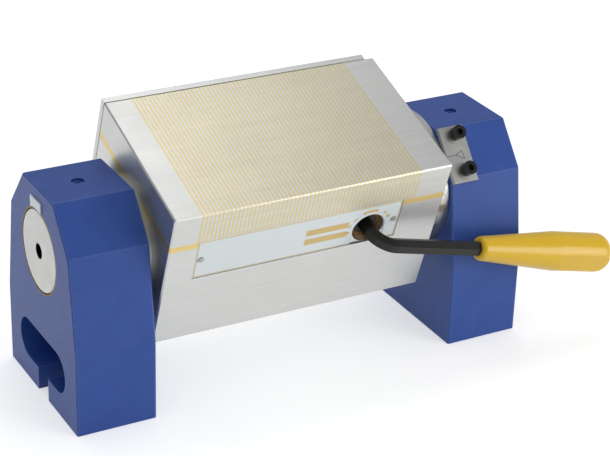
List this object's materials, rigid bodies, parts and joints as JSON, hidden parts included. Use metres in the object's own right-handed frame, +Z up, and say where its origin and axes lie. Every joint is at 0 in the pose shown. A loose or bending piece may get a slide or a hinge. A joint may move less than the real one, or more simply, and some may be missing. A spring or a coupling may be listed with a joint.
{
  "type": "magnetic chuck",
  "caption": "Permanent-magnet chuck with a laminated working face that tilts between two blue clamp-down brackets, switched by a hexagon key with a plastic handle.",
  "frame": {"origin": "on the table, under the middle of the tilt axis, half way between the two brackets", "axes": "+X along the tilt axis to the right as seen from the side of the switching key, +Y to the rear, +Z up"},
  "size_m": [0.3465, 0.1371, 0.1626],
  "materials": {
    "blue_paint": "gloss enamel",
    "ground_steel": "surface-ground",
    "milled_steel": "ground and milled",
    "turned_steel": "turned",
    "black_steel": "black oxide",
    "bright_screw": "bright zinc",
    "brass": "ground",
    "bronze": "bored and oiled",
    "dial_steel": "satin chromed, engraved",
    "plate_metal": "printed",
    "yellow_plastic": "moulded, glossy",
    "magnet": "sintered ferrite"
  },
  "bodies": {
    "stand": {"left_bracket": "blue_paint", "right_bracket": "blue_paint", "left_bush": "bronze", "right_bush": "bronze", "left_clamp_pad": "brass", "right_clamp_pad": "brass", "index_plate": "plate_metal", "pointer_plate": "turned_steel", "pointer_screws": "black_steel"},
    "chuck": {"chuck_housing": "milled_steel", "base_cover": "milled_steel", "base_screws": "bright_screw", "brass_band": "brass", "pole_plate": "ground_steel", "pole_strips": "brass", "pole_screws": "black_steel", "nameplate": "plate_metal", "nameplate_screws": "bright_screw", "cam_bush": "bronze", "left_trunnion": "turned_steel", "left_trunnion_screws": "bright_screw", "right_trunnion": "turned_steel", "right_trunnion_screws": "black_steel", "tilt_dial": "dial_steel", "dial_screws": "bright_screw", "back_stop_screws": "black_steel"},
    "stop_bar": {"back_stop": "ground_steel"},
    "magnet_pack": {"magnet_tray": "brass", "magnets": "magnet", "pole_bars": "milled_steel"},
    "switch_cam": {"cam_shaft": "milled_steel"},
    "key": {"hex_key": "black_steel", "key_handle": "yellow_plastic"},
    "left_screw": {"left_clamp_screw": "black_steel"},
    "right_screw": {"right_clamp_screw": "black_steel"}
  },
  "joints": [
    {"name": "tilt", "type": "hinge", "parent": "stand", "child": "chuck", "pos_m": [0, 0, 0.0924], "axis": [1, 0, 0], "range_deg": [-109.1, 4]},
    {"name": "stop_lift", "type": "slide", "parent": "chuck", "child": "stop_bar", "axis": [0, -0.3272, 0.9449], "range_m": [0, 0.008]},
    {"name": "switch_turn", "type": "hinge", "parent": "chuck", "child": "switch_cam", "pos_m": [0.0351, -0.05297, 0.09258], "axis": [0, -0.9449, -0.3272], "range_deg": [0, 180]},
    {"name": "magnet_shift", "type": "slide", "parent": "chuck", "child": "magnet_pack", "axis": [1, 0, 0], "range_m": [0, 0.00244]},
    {"name": "key_pull", "type": "slide", "parent": "switch_cam", "child": "key", "axis": [0, -0.9449, -0.3272], "range_m": [0, 0.06]},
    {"name": "left_clamp_turn", "type": "hinge", "parent": "stand", "child": "left_screw", "pos_m": [-0.1213, 0, 0.125], "axis": [0, 0, 1], "range_deg": [0, 360]},
    {"name": "right_clamp_turn", "type": "hinge", "parent": "stand", "child": "right_screw", "pos_m": [0.1213, 0, 0.125], "axis": [0, 0, 1], "range_deg": [0, 360]}
  ],
  "couplings": [
    {"joint": "magnet_shift", "follows": "switch_turn", "m_per_rad": 0.00077668}
  ]
}
